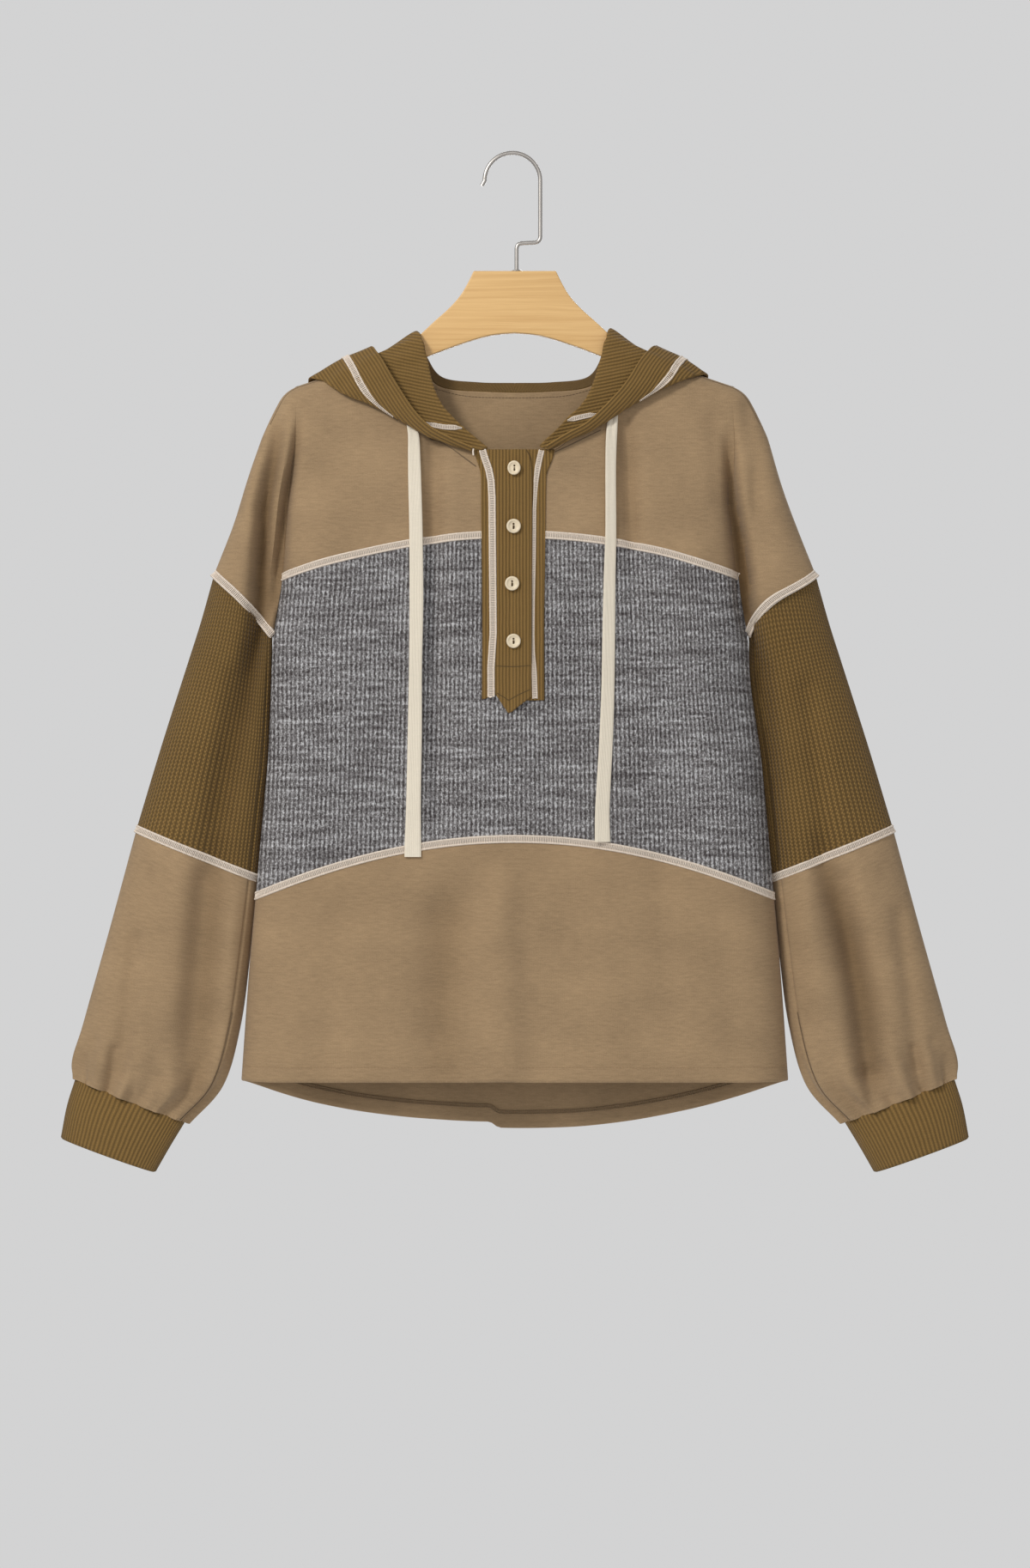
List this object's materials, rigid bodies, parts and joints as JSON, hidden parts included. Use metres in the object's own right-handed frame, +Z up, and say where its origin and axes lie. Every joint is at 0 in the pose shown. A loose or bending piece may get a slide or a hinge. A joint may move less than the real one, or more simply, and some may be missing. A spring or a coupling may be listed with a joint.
{
  "type": "hooded henley sweatshirt on a hanger",
  "caption": "Colour-block hooded sweatshirt with a buttoned placket and free drawcords, hung by its shoulders on a flat wooden hanger with a wire hook.",
  "frame": {"origin": "inside top of the hanger's wire hook, where a rail carries it", "axes": "+Z up, -Y towards the garment's front, +X to the viewer's right when facing the front"},
  "size_m": [0.764, 0.08, 0.8585],
  "materials": {
    "taupe_jersey": "matt brushed jersey",
    "olive_rib": "matt rib and waffle knit",
    "grey_marl_rib": "matt marled rib knit",
    "cream_cord": "matt flat woven cord",
    "cream_button": "satin",
    "pale_wood": "satin varnish",
    "hook_steel": "polished"
  },
  "bodies": {
    "root": {"back": "taupe_jersey", "front_yoke_left": "taupe_jersey", "front_yoke_right": "taupe_jersey", "front_middle": "grey_marl_rib", "front_lower": "taupe_jersey", "sleeve_upper_left": "olive_rib", "sleeve_upper_right": "olive_rib", "sleeve_lower_left": "taupe_jersey", "sleeve_lower_right": "taupe_jersey", "cuff_left": "olive_rib", "cuff_right": "olive_rib", "hood_left": "olive_rib", "hood_right": "olive_rib", "placket_over": "olive_rib", "placket_under": "olive_rib", "button_1": "cream_button", "button_2": "cream_button", "button_3": "cream_button", "button_4": "cream_button", "drawcord_left": "cream_cord", "drawcord_right": "cream_cord", "hanger_body": "pale_wood", "hanger_hook": "hook_steel"}
  },
  "joints": []
}
